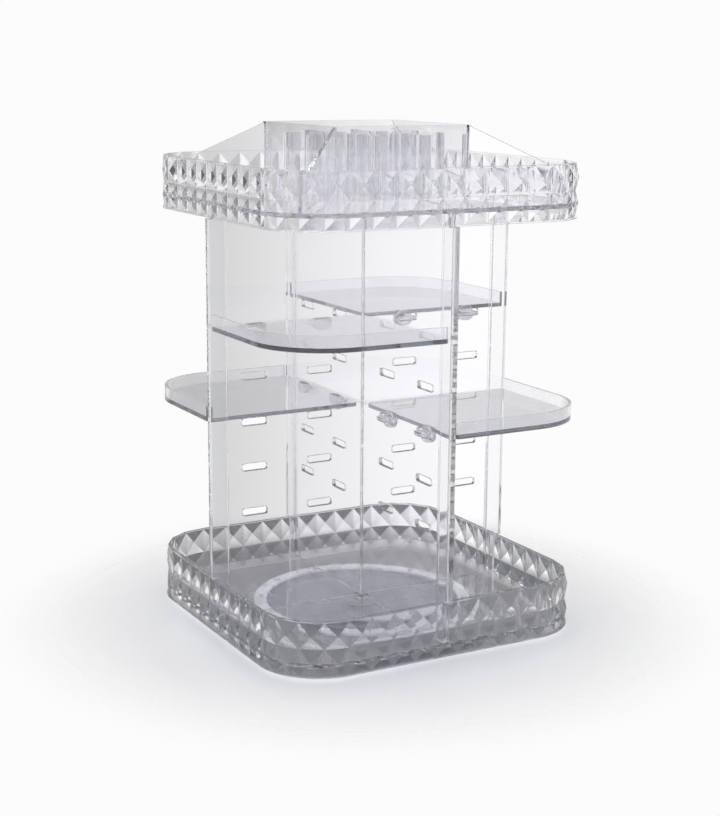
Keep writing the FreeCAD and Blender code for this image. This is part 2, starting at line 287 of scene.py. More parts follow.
# %% [markdown]
# ## Closed solids
# A clear piece is seen through, so it has to be one closed skin: a stray inner face would show as
# a dark sheet. Every solid is an outline swept along a vector, or a profile turned round the axis.
# Small functions add such solids to a bmesh, and one more turns the bmesh into a mesh with all its
# faces outwards.

# %% Closed solids
weld_distance = 0.0005 * MM


def bridge(shape, rings):
    """Add the faces between rings of as many points each."""
    for first, second in zip(rings, rings[1:]):
        for index in range(len(first)):
            after = (index + 1) % len(first)
            shape.faces.new((first[index], first[after], second[after], second[index]))


def add_sweep(shape, outline, rise):
    """Add the closed solid that a flat outline of 3-D points sweeps along a vector."""
    rings = [[shape.verts.new(point + rise * share) for point in outline] for share in (0.0, 1.0)]
    bridge(shape, rings)
    shape.faces.new(rings[0])
    shape.faces.new(rings[1])


def add_prism(shape, plan, low, high):
    """Add the upright closed solid over a plan outline between two heights."""
    add_sweep(shape, [Vector((x, y, low)) for x, y in plan], Vector((0, 0, high - low)))


def add_turned(shape, profile):
    """Add the closed ring that a profile of radius and height sweeps round the axis."""
    rings = []
    for ray in circle(1.0):
        rings.append([shape.verts.new((ray.x * radius, ray.y * radius, z)) for radius, z in profile])
    bridge(shape, rings + rings[:1])


def closed_mesh(name, shape):
    """Weld a bmesh of closed solids, turn its faces outwards and return it as a mesh."""
    bmesh.ops.remove_doubles(shape, verts=shape.verts, dist=weld_distance)
    bmesh.ops.recalc_face_normals(shape, faces=shape.faces)
    mesh = bpy.data.meshes.new(name)
    shape.to_mesh(mesh)
    shape.free()
    return mesh


def prism_mesh(name, plan, low, high):
    """Return the mesh of one upright solid over a plan outline."""
    shape = bmesh.new()
    add_prism(shape, plan, low, high)
    return closed_mesh(name, shape)


def points_mesh(name, points):
    """Return a mesh of loose points, the places for copies."""
    mesh = bpy.data.meshes.new(name)
    mesh.from_pydata(points, [], [])
    return mesh


# %% [markdown]
# ## Node tools
# What repeats, or follows a rule, is made by Geometry Nodes: the diamond cut of the walls, the
# slots, the balls, and the joining of mouldings into one skin. Each tool is a tree with named
# inputs that ends in Realize Instances and Set Material. `run_tool` puts a tool on a mesh, sets
# its inputs before anything is evaluated, and takes the result as a plain mesh.

# %% Tool helpers
def new_tool(name, inputs):
    """Return an empty node tool with a node writer and its input sockets by name."""
    tree = bpy.data.node_groups.new(name, "GeometryNodeTree")
    interface = tree.interface
    interface.new_socket("Geometry", in_out="INPUT", socket_type="NodeSocketGeometry")
    for label, kind in (inputs | {"Material": "Material"}).items():
        interface.new_socket(label, in_out="INPUT", socket_type="NodeSocket" + kind)
    interface.new_socket("Geometry", in_out="OUTPUT", socket_type="NodeSocketGeometry")
    add = node_writer(tree)
    return tree, add, add("NodeGroupInput").outputs


def close_tool(add, entry, geometry):
    """End a tool: realize its instances and set its material."""
    real = add("GeometryNodeRealizeInstances", None, geometry)
    dressed = add("GeometryNodeSetMaterial", None, real.outputs[0], Material=entry["Material"])
    add("NodeGroupOutput", None, dressed.outputs[0])


def make_object(name, mesh):
    """Return a new object in the scene that holds a mesh."""
    holder = bpy.data.objects.new(name, mesh)
    scene.collection.objects.link(holder)
    return holder


def take_mesh(holder):
    """Return an object's finished mesh and remove the object."""
    graph = bpy.context.evaluated_depsgraph_get()
    mesh = bpy.data.meshes.new_from_object(holder.evaluated_get(graph))
    bpy.data.objects.remove(holder)
    return mesh


def run_tool(tree, mesh, **values):
    """Run a node tool on a mesh and return the result as a plain mesh."""
    holder = make_object(tree.name, mesh)
    helpers = {key: make_object(key, value) for key, value in values.items()
               if isinstance(value, bpy.types.Mesh)}
    modifier = holder.modifiers.new(tree.name, "NODES")
    modifier.node_group = tree
    for socket in tree.interface.items_tree:
        key = socket.name.replace(" ", "_")
        if socket.in_out == "INPUT" and key in values:
            modifier[socket.identifier] = helpers.get(key, values[key])
    result = take_mesh(holder)
    for helper in helpers.values():
        bpy.data.objects.remove(helper)
    return result


# %% [markdown]
# ## Joining, cutting and punching
# A moulding is one skin even where a wall, a floor and a divider meet. The joiner is a node tool
# with two booleans: it unites a solid with an addition and then takes a cut away. The punch serves
# everything that repeats as a hole: it puts a copy of a cutter on each point of a mesh and takes
# all the copies away at once. The manifold solver keeps every result closed.

# %% Joiner and punch
joiner, add, entry = new_tool("join_and_cut", {"Addition": "Object", "Cut": "Object"})
addition = add("GeometryNodeObjectInfo", None, Object=entry["Addition"])
cut = add("GeometryNodeObjectInfo", None, Object=entry["Cut"])
union = add("GeometryNodeMeshBoolean", {"operation": "UNION", "solver": "MANIFOLD"},
            Mesh_2=entry["Geometry"])
joiner.links.new(addition.outputs["Geometry"], union.inputs["Mesh 2"])
carved = add("GeometryNodeMeshBoolean", {"operation": "DIFFERENCE", "solver": "MANIFOLD"},
             union.outputs["Mesh"], Mesh_2=cut.outputs["Geometry"])
close_tool(add, entry, carved.outputs["Mesh"])
print("tool:", joiner.name, len(joiner.nodes), "nodes")

punch, add, entry = new_tool("punch", {"Cutter": "Object", "Places": "Object"})
cutter = add("GeometryNodeObjectInfo", None, Object=entry["Cutter"])
places = add("GeometryNodeObjectInfo", None, Object=entry["Places"])
copies = add("GeometryNodeInstanceOnPoints", None, places.outputs["Geometry"],
             Instance=cutter.outputs["Geometry"])
cutters = add("GeometryNodeRealizeInstances", None, copies.outputs[0])
punched = add("GeometryNodeMeshBoolean", {"operation": "DIFFERENCE", "solver": "MANIFOLD"},
              entry["Geometry"], Mesh_2=cutters.outputs[0])
close_tool(add, entry, punched.outputs["Mesh"])
print("tool:", punch.name, len(punch.nodes), "nodes")

# %% [markdown]
# ## Soft edges and handing over
# No moulded edge is sharp. A narrow bevel catches the light along every rim, and weighted normals
# keep the flat faces beside it flat. `hand_over` makes the finished object, hangs it on the body it
# rides on and hides the node of the frame that it stands for.

# %% Soft edges
flat_angle = 0.2
edge_angle = 40
edge_segments = 2
flat_weight = 90


def soften(mesh, width, angle=edge_angle, segments=edge_segments):
    """Return a mesh with a narrow bevel on the edges that turn by more than an angle."""
    shape = bmesh.new()
    shape.from_mesh(mesh)
    bmesh.ops.dissolve_limit(shape, angle_limit=math.radians(flat_angle), verts=shape.verts,
                             edges=shape.edges)
    shape.to_mesh(mesh)
    shape.free()
    holder = make_object("soften", mesh)
    bevel = holder.modifiers.new("bevel", "BEVEL")
    bevel.width = width
    bevel.segments = segments
    bevel.limit_method = "ANGLE"
    bevel.angle_limit = math.radians(angle)
    return take_mesh(holder)


def weigh_normals(mesh):
    """Return a mesh shaded smoothly over its bevels, with its large faces flat."""
    mesh.shade_smooth()
    holder = make_object("weigh", mesh)
    weighting = holder.modifiers.new("weighting", "WEIGHTED_NORMAL")
    weighting.mode = "FACE_AREA"
    weighting.weight = flat_weight
    return take_mesh(holder)


def count_open_edges(mesh):
    """Return how many edges of a mesh don't join exactly two faces."""
    shape = bmesh.new()
    shape.from_mesh(mesh)
    count = sum(1 for edge in shape.edges if len(edge.link_faces) != 2)
    shape.free()
    return count


def dress(mesh, material, second=None, is_second=None):
    """Give a mesh its finish, and a second one to the faces whose centre passes a test."""
    mesh.materials.clear()
    mesh.materials.append(material)
    if second:
        mesh.materials.append(second)
        indices = [int(is_second(face.center)) for face in mesh.polygons]
        mesh.polygons.foreach_set("material_index", indices)
    return mesh


def hand_over(name, mesh, body, node):
    """Make the finished object of a mesh, riding on a body and standing for a node."""
    mesh.name = name
    piece = make_object(name, mesh)
    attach(piece, body)
    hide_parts(node)
    print(name, len(mesh.polygons), "faces,", count_open_edges(mesh), "open edges")
    return piece


def turned_mesh(mesh, degrees):
    """Return a copy of a mesh turned about the organizer's axis."""
    copy = mesh.copy()
    copy.transform(Matrix.Rotation(math.radians(degrees), 4, "Z"))
    return copy


print("edges that turn by more than", edge_angle, "degrees are softened")

# %% [markdown]
# ## The diamond cut
# Both trays have a wall of shallow pyramids in two rows, like cut glass. The blank is a block with
# one flat face per diamond, nine along each side and four round each corner. Modelling each
# pyramid by hand would be slow, so a node tool raises a point on every marked face: it extrudes
# the faces one by one, shrinks their tops to a point and welds them.

# %% Diamond tool
point_weld = 0.01 * MM

diamond_cut, add, entry = new_tool("diamond_cut", {"Facet Depth": "Float"})
marked = add("GeometryNodeInputNamedAttribute", {"data_type": "BOOLEAN"}, "diamond")
raised = add("GeometryNodeExtrudeMesh", {"mode": "FACES"}, entry["Geometry"], Individual=True,
             Selection=marked.outputs["Attribute"], Offset_Scale=entry["Facet Depth"])
pointed = add("GeometryNodeScaleElements", {"domain": "FACE"}, raised.outputs["Mesh"],
              Selection=raised.outputs["Top"], Scale=0.0)
welded = add("GeometryNodeMergeByDistance", None, pointed.outputs[0], Distance=point_weld)
close_tool(add, entry, welded.outputs[0])
print("tool:", diamond_cut.name, len(diamond_cut.nodes), "nodes")

# %% [markdown]
# ## A tray with a diamond wall
# Base and top tray share their wall, so one function makes both. It lays out the blank, runs the
# diamond tool on it, adds the plain lip below, and hollows the block from above and from below so
# that a floor stays between.

# %% Diamond tray
lip_overhang = 0.5 * MM
lip_height = 0.9 * MM
lip_reach = 1.2 * MM
rim_height = 0.9 * MM
facet_depth = 2.3 * MM
facet_rows = 2
side_facets = 9
corner_facets = 4
facet_edge = 0.14 * MM
facet_angle = 8
wall_thickness = 2.4 * MM
wall_depth = lip_overhang + facet_depth + wall_thickness
cut_overrun = 2.0 * MM


def diamond_outline(half, corner_radius):
    """Return the plan points at which the diamonds of one row meet."""
    straight = half - corner_radius
    valley = half - lip_overhang - facet_depth
    quarter = [Vector((-straight + 2 * straight * column / side_facets, -valley))
               for column in range(side_facets)]
    for column in range(corner_facets):
        angle = math.pi / 2 * (column / corner_facets - 1)
        ray = Vector((math.cos(angle), math.sin(angle)))
        quarter.append(Vector((straight, -straight)) + ray * (valley - straight))
    return [Matrix.Rotation(math.pi / 2 * turn, 2) @ point for turn in range(4) for point in quarter]


def diamond_blank(half, corner_radius, low, high):
    """Return a closed block with one marked flat face for each diamond."""
    plan = diamond_outline(half, corner_radius)
    row_low = low + lip_height
    row_rise = (high - rim_height - row_low) / facet_rows
    levels = [low] + [row_low + row * row_rise for row in range(facet_rows + 1)] + [high]
    shape = bmesh.new()
    mark = shape.faces.layers.bool.new("diamond")
    rings = [[shape.verts.new((x, y, level)) for x, y in plan] for level in levels]
    bridge(shape, rings)
    for face in shape.faces:
        middle = face.calc_center_median().z
        face[mark] = levels[1] < middle < levels[-2]
    shape.faces.new(rings[0])
    shape.faces.new(rings[-1])
    return closed_mesh("diamond_blank", shape)


def diamond_tray(half, corner_radius, low, high, floor_low, floor_high):
    """Return a tray with a diamond-cut wall, a plain lip and a floor."""
    blank = diamond_blank(half, corner_radius, low, high)
    block = run_tool(diamond_cut, blank, Facet_Depth=facet_depth)
    block = soften(block, facet_edge, facet_angle, segments=1)
    lip_half = half - lip_overhang - facet_depth + lip_reach
    lip_plan = rounded_square(lip_half, corner_radius + lip_half - half)
    lip = prism_mesh("lip", lip_plan, low, low + lip_height)
    inside = rounded_square(half - wall_depth, corner_radius - wall_depth)
    hollows = bmesh.new()
    add_prism(hollows, inside, floor_high, high + cut_overrun)
    add_prism(hollows, inside, low - cut_overrun, floor_low)
    return run_tool(joiner, block, Addition=lip, Cut=closed_mesh("hollows", hollows))


print("diamonds round a tray:", 4 * facet_rows * (side_facets + corner_facets))

# %% [markdown]
# ## Base tray
# The lowest moulding: the diamond wall, a floor with shallow crossed seats for the panels, and
# underneath the hub that turns in the foot plate. The balls run on the floor's flat underside.
# The tray comes from the diamond tool, and the joiner adds the hub and cuts the seats.

# %% Base tray
base_low, base_high = (corner.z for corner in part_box("base_tray"))
base_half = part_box("base_tray")[1].x
base_corner_radius = 42.0 * MM
base_floor_low = 8.1 * MM
base_floor_high = 10.6 * MM
panel_web = 2.6 * MM
seat_play = 0.3 * MM
seat_width = panel_web + seat_play
seat_depth = 0.8 * MM
hub_radius = 6.0 * MM
hub_low = 3.9 * MM
pilot_radius = 1.55 * MM
pilot_depth = 3.9 * MM
pilot_high = hub_low + pilot_depth
overlap = 0.3 * MM
tray_edge = 0.3 * MM

hub = prism_mesh("hub", circle(hub_radius), hub_low, base_floor_low + overlap)
base_cuts = bmesh.new()
add_prism(base_cuts, circle(pilot_radius), hub_low - cut_overrun, pilot_high)
add_prism(base_cuts, cross(seat_width / 2, base_half - wall_depth), base_floor_high - seat_depth,
          base_floor_high + cut_overrun)
base_mesh = diamond_tray(base_half, base_corner_radius, base_low, base_high,
                         base_floor_low, base_floor_high)
base_mesh = run_tool(joiner, base_mesh, Addition=hub, Cut=closed_mesh("base_cuts", base_cuts))
base_mesh = weigh_normals(soften(base_mesh, tray_edge))
hand_over("clear_base_tray", dress(base_mesh, tray_clear), "carousel", "base_tray")

# %% [markdown]
# ## Top tray
# The lift-off tray repeats the diamond wall and adds the brush box: a tall square tube with two
# dividers each way, and four sloping webs from its corners to the tray's corners. Its floor has
# the same crossed seats on its underside, where the panels carry it.

# %% Top tray
top_low, box_high = (corner.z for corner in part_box("top_tray"))
top_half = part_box("top_tray")[1].x
top_corner_radius = 40.0 * MM
top_wall_height = 34.0 * MM
top_skirt = 7.5 * MM
top_floor_thickness = 2.5 * MM
top_high = top_low + top_wall_height
top_floor_low = top_low + top_skirt
top_floor_high = top_floor_low + top_floor_thickness
box_half = 48.0 * MM
box_wall = 2.5 * MM
box_cells = 3
divider_thickness = 1.8 * MM
divider_drop = 6.0 * MM
cell_round = 4.0 * MM
gusset_thickness = 2.2 * MM
gusset_run = 50.0 * MM


def gussets():
    """Return the four sloping webs between the corners of the box and of the tray."""
    start = box_half * math.sqrt(2) - box_wall
    corner_reach = (top_half - top_corner_radius) * math.sqrt(2) + top_corner_radius
    end = corner_reach - wall_depth + wall_thickness / 2
    shoulder = top_high - rim_height
    sides = [(start, top_floor_high - overlap), (end, top_floor_high - overlap), (end, shoulder),
             (start + gusset_run, shoulder), (start, box_high)]
    shape = bmesh.new()
    for quarter in range(4):
        turn = Matrix.Rotation(math.pi / 4 + math.pi / 2 * quarter, 3, "Z")
        outline = [turn @ Vector((x, -gusset_thickness / 2, z)) for x, z in sides]
        add_sweep(shape, outline, turn @ Vector((0, gusset_thickness, 0)))
    return closed_mesh("gussets", shape)


cell = (2 * (box_half - box_wall) - (box_cells - 1) * divider_thickness) / box_cells
cell_steps = [(index - (box_cells - 1) / 2) * (cell + divider_thickness) for index in range(box_cells)]
cell_places = points_mesh("cell_places", [(x, y, 0) for x in cell_steps for y in cell_steps])
cell_cutter = prism_mesh("cell_cutter", rounded_square(cell / 2, cell_round), top_floor_high,
                         box_high + cut_overrun)
inside = box_half - box_wall
mouth = prism_mesh("mouth", rectangle((-inside, -inside), (inside, inside)), box_high - divider_drop,
                   box_high + cut_overrun)
seats = prism_mesh("seats", cross(seat_width / 2, top_half - wall_depth), top_floor_low - cut_overrun,
                   top_floor_low + seat_depth)
box = prism_mesh("box", rectangle((-box_half, -box_half), (box_half, box_half)),
                 top_floor_high - overlap, box_high)

top_mesh = diamond_tray(top_half, top_corner_radius, top_low, top_high, top_floor_low, top_floor_high)
top_mesh = run_tool(joiner, top_mesh, Addition=box, Cut=seats)
top_mesh = run_tool(joiner, top_mesh, Addition=gussets(), Cut=mouth)
top_mesh = run_tool(punch, top_mesh, Cutter=cell_cutter, Places=cell_places)
top_mesh = weigh_normals(soften(top_mesh, tray_edge))
hand_over("clear_top_tray", dress(top_mesh, tray_clear), "top", "top_tray")

# %% [markdown]
# ## Slotted panels
# Four identical panels stand in a cross. Each is a thin web with a thicker outer rail and two
# columns of five slots for the shelf hooks. The rail is drawn from the side, because it steps back
# behind the base tray's wall below and the top tray's wall above. The slots have small corner
# rounds and come from the punch. One panel is made and turned three times.

# %% Panels
slot_width = 17.0 * MM
slot_height = 4.5 * MM
slot_round = 0.8 * MM
slot_rows = 5
slot_pitch = 29.2 * MM
slot_lowest = 78.0 * MM
slot_radii = (32.2 * MM, 78.4 * MM)
web_low, web_high = (corner.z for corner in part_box("panel_right"))
panel_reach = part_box("panel_right")[1].x
rail_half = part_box("panel_right")[1].y
mitre_gap = 0.1 * MM
seat_clearance = 0.15 * MM
wall_clearance = 0.4 * MM
rail_inside = 96.9 * MM
panel_edge = 0.35 * MM
rail_low = base_floor_high + seat_clearance
rail_high = top_floor_low - seat_clearance
base_notch = (base_half - wall_depth - wall_clearance, base_high + seat_clearance)
top_notch = (top_half - wall_depth - wall_clearance, top_low - seat_clearance)


def panel_blank():
    """Return the panel along +X without its slots."""
    half = panel_web / 2
    outline = [(mitre_gap, 0), (mitre_gap + half, -half), (rail_inside + half, -half),
               (rail_inside + half, half), (mitre_gap + half, half)]
    web = prism_mesh("web", [Vector(point) for point in outline], web_low, web_high)
    sides = [(rail_inside, rail_low), (base_notch[0], rail_low), base_notch, (panel_reach, base_notch[1]),
             (panel_reach, top_notch[1]), top_notch, (top_notch[0], rail_high), (rail_inside, rail_high)]
    rail = bmesh.new()
    add_sweep(rail, [Vector((x, -rail_half, z)) for x, z in sides], Vector((0, 2 * rail_half, 0)))
    return run_tool(joiner, web, Addition=closed_mesh("rail", rail))


def slot_cutter():
    """Return the round-cornered bar that cuts one slot through a panel."""
    corners = [(x * slot_width / 2, z * slot_height / 2, slot_round) for x, z in corner_signs]
    shape = bmesh.new()
    outline = [Vector((x, -panel_web, z)) for x, z in rounded_outline(corners)]
    add_sweep(shape, outline, Vector((0, 2 * panel_web, 0)))
    return closed_mesh("slot_cutter", shape)


slot_places = points_mesh("slot_places", [(radius, 0, slot_lowest + row * slot_pitch)
                                          for radius in slot_radii for row in range(slot_rows)])
panel_mesh = run_tool(punch, panel_blank(), Cutter=slot_cutter(), Places=slot_places)
panel_mesh = weigh_normals(soften(panel_mesh, panel_edge))
dress(panel_mesh, panel_clear, rail_clear, lambda centre: centre.x > rail_inside)
for quarter, side in enumerate(("right", "back", "left", "front")):
    hand_over("clear_panel_" + side, turned_mesh(panel_mesh, 90 * quarter), "carousel", "panel_" + side)

# %% [markdown]
# ## Corner shelves
# Each shelf is a quarter plate with a low rim on its two outer sides. Two round ears lie against
# a panel and their tongues reach through its slots. The shelf is made for one corner at each of
# the two heights and turned into place. The ears are frosted on the real shelf, so they get a
# second finish.

# %% Shelves
shelf_low_gap = 1.9 * MM
shelf_thickness = 2.5 * MM
shelf_rim_height = 7.2 * MM
shelf_rim_thickness = 2.3 * MM
shelf_play = 0.3 * MM
shelf_setback = 0.4 * MM
shelf_edge = rail_half + shelf_play
shelf_reach = panel_reach - shelf_setback
shelf_corner_radius = 44.0 * MM
shelf_end_round = 3.0 * MM
ear_half_width = 6.25 * MM
ear_half_height = 5.0 * MM
ear_face = panel_web / 2 + shelf_play
ear_back = shelf_edge + shelf_thickness
tongue_half_width = 6.0 * MM
tongue_low_gap = 2.05 * MM
tongue_thickness = 3.0 * MM
tongue_reach = 3.4 * MM
tongue_tip = -panel_web / 2 - tongue_reach
tongue_nose = 1.0 * MM
shelf_soft_edge = 0.3 * MM
frost_margin = 0.1 * MM
lower_row, upper_row = 2, 4


def hook_parts(slot):
    """Return the ears, and the tongues, of a shelf in a row of slots."""
    ears = bmesh.new()
    tongues = bmesh.new()
    low = slot - tongue_low_gap
    ear_middle = slot + shelf_low_gap + shelf_thickness - ear_half_height
    for radius in slot_radii:
        ear = []
        for ray in circle(1.0):
            ends = math.copysign(ear_half_width - ear_half_height, ray.x)
            ear.append(Vector((radius + ends + ear_half_height * ray.x, ear_face,
                               ear_middle + ear_half_height * ray.y)))
        add_sweep(ears, ear, Vector((0, ear_back - ear_face, 0)))
        sides = [(ear_back, low), (tongue_tip + tongue_nose, low), (tongue_tip, low + tongue_nose),
                 (tongue_tip, low + tongue_thickness), (ear_back, low + tongue_thickness)]
        add_sweep(tongues, [Vector((radius - tongue_half_width, y, z)) for y, z in sides],
                  Vector((2 * tongue_half_width, 0, 0)))
    return closed_mesh("ears", ears), closed_mesh("tongues", tongues)


def shelf_piece(slot):
    """Return the shelf of the +X +Y corner, hooked in a row of slots of the +X panel."""
    low = slot + shelf_low_gap
    floor = low + shelf_thickness
    high = floor + shelf_rim_height
    near, far, end = shelf_edge, shelf_reach, shelf_end_round
    corner = shelf_corner_radius
    plate = rounded_outline([(near, near, end), (far, near, end), (far, far, corner), (near, far, end)])
    rim = far - shelf_rim_thickness
    hollow = rounded_outline([(-near, -near, 0), (rim, -near, 0), (rim, rim, corner - shelf_rim_thickness),
                              (-near, rim, 0)])
    ears, tongues = hook_parts(slot)
    mesh = run_tool(joiner, prism_mesh("plate", plate, low, high), Addition=ears)
    cut = prism_mesh("hollow", hollow, floor, high + cut_overrun)
    mesh = run_tool(joiner, mesh, Addition=tongues, Cut=cut)
    mesh = weigh_normals(soften(mesh, shelf_soft_edge))
    below, beside = low - frost_margin, shelf_edge - frost_margin
    return dress(mesh, shelf_clear, hook_clear, lambda centre: centre.z < below or centre.y < beside)


upper_shelf = shelf_piece(slot_lowest + upper_row * slot_pitch)
lower_shelf = shelf_piece(slot_lowest + lower_row * slot_pitch)
for quarter, (side, mesh) in enumerate((("back_right", upper_shelf), ("back_left", lower_shelf),
                                        ("front_left", upper_shelf), ("front_right", lower_shelf))):
    hand_over("clear_shelf_" + side, turned_mesh(mesh, 90 * quarter), "shelf_" + side, "shelf_" + side)

# %% [markdown]
# ## Foot plate
# The plate that stays still on the table is one turned profile: a rim, the lower half of the ball
# race and a dome with the pivot bore. A Screw modifier could turn it, but here the same small
# function as for the washer and the cage does. Its finish is hazy, because its underside is
# textured.

# %% Foot plate
plate_low = 1.5 * MM
plate_high = 3.7 * MM
plate_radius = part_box("foot_plate")[1].x
dome_radius = 14.0 * MM
dome_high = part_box("foot_plate")[1].z
recess_radius = 11.0 * MM
recess_high = 4.0 * MM
bore_radius = 6.08 * MM
race_radius = 68.2 * MM
race_half = 4.3 * MM
groove_half = 2.3 * MM
ball_height = 5.9 * MM
groove_low = ball_height - groove_half
race_drop = 1.0 * MM
race_high = ball_height - race_drop
plate_edge = 0.25 * MM

plate = bmesh.new()
add_turned(plate, [(bore_radius, recess_high), (recess_radius, recess_high), (recess_radius, plate_low),
                   (plate_radius, plate_low), (plate_radius, plate_high),
                   (race_radius + race_half, plate_high),
                   (race_radius + race_half, race_high), (race_radius + groove_half, race_high),
                   (race_radius + groove_half, groove_low), (race_radius - groove_half, groove_low),
                   (race_radius - groove_half, race_high), (race_radius - race_half, race_high),
                   (race_radius - race_half, plate_high), (dome_radius, plate_high), (dome_radius, dome_high),
                   (bore_radius, dome_high)])
plate_mesh = weigh_normals(soften(closed_mesh("foot_plate", plate), plate_edge))
hand_over("hazy_foot_plate", dress(plate_mesh, plate_clear), "stand", "foot_plate")

# %% [markdown]
# ## Balls and cage
# Steel balls run between the two halves of the race, kept apart by a flat ring of hazy plastic.
# Copies on a circle are what Geometry Nodes do best, so the ball ring is a node tool that puts a
# smooth ball on every point. The same points place the punch for the pockets.

# %% Balls and cage
ball_count = 12
ball_radius = 2.0 * MM
ball_segments, ball_rings = 24, 14
pocket_play = 0.15 * MM
pocket_radius = ball_radius + pocket_play
small_edge = 0.2 * MM
cage_half = 4.0 * MM
cage_low, cage_high = (corner.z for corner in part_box("ball_cage"))

ball_ring, add, entry = new_tool("ball_ring", {"Ball Radius": "Float"})
ball = add("GeometryNodeMeshUVSphere", None, Segments=ball_segments, Rings=ball_rings,
           Radius=entry["Ball Radius"])
balls = add("GeometryNodeInstanceOnPoints", None, entry["Geometry"], Instance=ball.outputs[0])
smooth = add("GeometryNodeSetShadeSmooth", None, balls.outputs[0])
close_tool(add, entry, smooth.outputs[0])
print("tool:", ball_ring.name, len(ball_ring.nodes), "nodes")

ball_places = []
for index in range(ball_count):
    angle = 2 * math.pi * index / ball_count
    ball_places.append((race_radius * math.cos(angle), race_radius * math.sin(angle), ball_height))
ball_mesh = run_tool(ball_ring, points_mesh("ball_places", ball_places), Ball_Radius=ball_radius)
hand_over("steel_balls", dress(ball_mesh, ball_steel), "ball_race", "bearing_balls")

cage = bmesh.new()
add_turned(cage, [(race_radius - cage_half, cage_low), (race_radius + cage_half, cage_low),
                  (race_radius + cage_half, cage_high), (race_radius - cage_half, cage_high)])
pocket_cutter = prism_mesh("pocket_cutter", circle(pocket_radius), -cut_overrun, cut_overrun)
cage_mesh = run_tool(punch, closed_mesh("cage", cage), Cutter=pocket_cutter,
                     Places=points_mesh("pocket_places", ball_places))
cage_mesh = weigh_normals(soften(cage_mesh, small_edge))
hand_over("white_cage", dress(cage_mesh, cage_clear), "ball_race", "ball_cage")

# %% [markdown]
# ## Pivot and feet
# A screw and a broad washer hold the foot plate to the tray's hub from below. Six soft feet stick
# to the plate under the race. All are plain turned shapes with softened edges.

# %% Pivot and feet
washer_low, washer_high = (corner.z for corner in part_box("pivot_washer"))
washer_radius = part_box("pivot_washer")[1].x
head_low, shank_high = (corner.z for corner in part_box("pivot_screw"))
head_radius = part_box("pivot_screw")[1].x
shank_radius = 1.5 * MM
driver_half = 0.4 * MM
driver_depth = 0.7 * MM
foot_count = 6
foot_radius = 6.5 * MM
foot_edge = 0.4 * MM
foot_edge_segments = 3

washer = bmesh.new()
add_turned(washer, [(pilot_radius, washer_low), (washer_radius, washer_low), (washer_radius, washer_high),
                    (pilot_radius, washer_high)])
washer_mesh = weigh_normals(soften(closed_mesh("washer", washer), small_edge))
hand_over("plated_washer", dress(washer_mesh, screw_steel), "carousel", "pivot_washer")

head = prism_mesh("head", circle(head_radius), head_low, washer_low)
shank = prism_mesh("shank", circle(shank_radius), washer_low - overlap, shank_high)
driver = prism_mesh("driver", rectangle((-2 * head_radius, -driver_half), (2 * head_radius, driver_half)),
                    head_low - cut_overrun, head_low + driver_depth)
screw_mesh = run_tool(joiner, head, Addition=shank, Cut=driver)
screw_mesh = weigh_normals(soften(screw_mesh, small_edge))
hand_over("plated_screw", dress(screw_mesh, screw_steel), "carousel", "pivot_screw")

foot_mesh = prism_mesh("foot", circle(foot_radius, (race_radius, 0.0)), 0.0, plate_low)
foot_mesh = weigh_normals(soften(foot_mesh, foot_edge, segments=foot_edge_segments))
dress(foot_mesh, soft_rubber)
for index in range(foot_count):
    label = str(index + 1)
    hand_over("soft_foot_" + label, turned_mesh(foot_mesh, 360 * index / foot_count), "stand",
              "rubber_foot_" + label)

# %% [markdown]
# ## Floor
# A plain pale floor with a soft sheen. It fades out with distance, so that there is no hard horizon
# behind a clear object. Clear goods are often photographed on a darker card, which gives their
# facets something to show. There is no card here: the floor is pale where the camera sees it
# directly, and a painted dark tone for every other ray, so the facets show a painted dark floor
# through the plastic.

# %% Floor
floor_reach = 0.36
floor_fade = (0.13, 0.25)
floor_roughness = 0.22
floor_painted_dark, floor_pale = (0.11, 0.112, 0.118), (0.84, 0.84, 0.85)
floor_mottle_scale, floor_mottle_detail = 3.0, 3.0
floor_mottle_share = 0.1

floor_material, add = new_finish("floor_pale")
place = add("ShaderNodeTexCoord").outputs["Object"]
mottle = add("ShaderNodeTexNoise", None, place, Scale=floor_mottle_scale, Detail=floor_mottle_detail)
distance = add("ShaderNodeVectorMath", {"operation": "LENGTH"}, place)
rays = add("ShaderNodeLightPath")
# Painted dark: camera rays see the pale tone, and every other ray sees the dark one.
tone = add("ShaderNodeMath", {"operation": "MULTIPLY_ADD"}, mottle.outputs["Fac"], floor_mottle_share,
           rays.outputs["Is Camera Ray"])
colour = blend(add, tone.outputs[0], floor_painted_dark, floor_pale)
shader = add("ShaderNodeBsdfPrincipled", None, colour, Roughness=floor_roughness)
fade = add("ShaderNodeMapRange", {"interpolation_type": "SMOOTHSTEP"}, distance.outputs["Value"], *floor_fade)
clear = add("ShaderNodeBsdfTransparent")
mix = add("ShaderNodeMixShader", None, fade.outputs["Result"], shader.outputs[0], clear.outputs[0])
add("ShaderNodeOutputMaterial", None, mix.outputs[0])

floor_mesh = bpy.data.meshes.new("floor")
floor_mesh.from_pydata([(x * floor_reach, y * floor_reach, 0) for x, y in corner_signs], [], [(0, 1, 2, 3)])
floor_mesh.materials.append(floor_material)
floor = make_object("floor", floor_mesh)
print("floor: pale, faded out", floor_fade[1], "m from the axis")

# %% [markdown]
# ## Studio backdrop
# Clear things are lit from behind: a bright backdrop shows through the walls. Behind this object
# it is greyer on the left. The studio is painted on the world as tones of grey by direction, where
# one is white, with soft steps between two limits. Limits are heights of the direction, or its
# share to the back or to the right of the photograph's view.

# %% Backdrop
backdrop_front = (0.2, 0.5)
backdrop_sides = (0.3, 0.6)
backdrop_top = (0.05, 0.25)
backdrop_foot = (-0.4, -0.3)
grey_limits = (-0.13, 0.06)
grey_left, bright_right = 0.62, 1.03

world = bpy.data.worlds.new("studio")
scene.world = world
world.use_nodes = True
world.node_tree.nodes.clear()
add = node_writer(world.node_tree)


